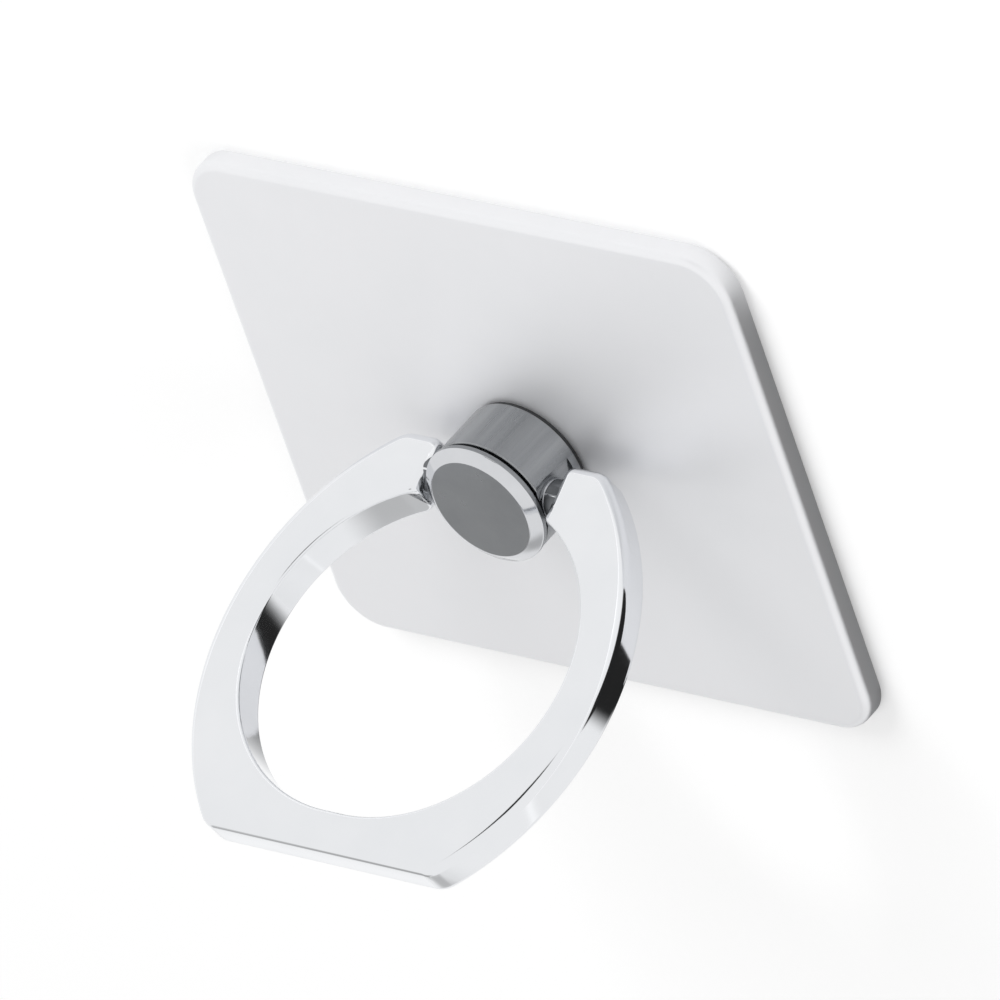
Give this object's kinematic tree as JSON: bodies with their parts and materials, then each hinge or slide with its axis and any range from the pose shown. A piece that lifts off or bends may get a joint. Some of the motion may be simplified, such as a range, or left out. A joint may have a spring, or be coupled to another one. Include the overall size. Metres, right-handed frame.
{
  "type": "phone ring holder",
  "caption": "Adhesive finger ring and stand for the back of a phone: a thin rounded plate, a turning post and a folding stirrup-shaped metal ring with a flat foot.",
  "frame": {"origin": "where the swivel axis meets the adhesive face", "axes": "+Z out of the plate along the swivel axis, X along the ring's hinge, +Y away from the ring's flat foot"},
  "size_m": [0.04, 0.035, 0.0279],
  "materials": {
    "cover_plate": "satin silver plating over cast zinc alloy",
    "adhesive_pad": "milky double-sided acrylic foam",
    "hub_cover": "thin dark sheet",
    "swivel_post": "satin turned steel",
    "slip_washer": "black nylon",
    "spring_washer": "bright spring steel",
    "rivet_washer": "zinc-plated steel",
    "cap_rivet": "dark satin steel with a bright turned bevel",
    "hinge_washers": "bright steel",
    "hinge_pins": "ground steel",
    "finger_ring": "polished chrome plating over cast zinc alloy"
  },
  "bodies": {
    "base": {"cover_plate": "cover_plate", "adhesive_pad": "adhesive_pad", "hub_cover": "hub_cover"},
    "swivel": {"swivel_post": "swivel_post", "slip_washer": "slip_washer", "spring_washer": "spring_washer", "rivet_washer": "rivet_washer", "cap_rivet": "cap_rivet", "hinge_washers": "hinge_washers"},
    "ring": {"finger_ring": "finger_ring", "hinge_pins": "hinge_pins"}
  },
  "joints": [
    {"name": "swivel_turn", "type": "hinge", "parent": "base", "child": "swivel", "pos_m": [0, 0, 0.0048], "axis": [0, 0, 1], "continuous": true},
    {"name": "ring_fold", "type": "hinge", "parent": "swivel", "child": "ring", "pos_m": [0, 0, 0.0048], "axis": [-1, 0, 0], "range_deg": [-71, 117]}
  ]
}
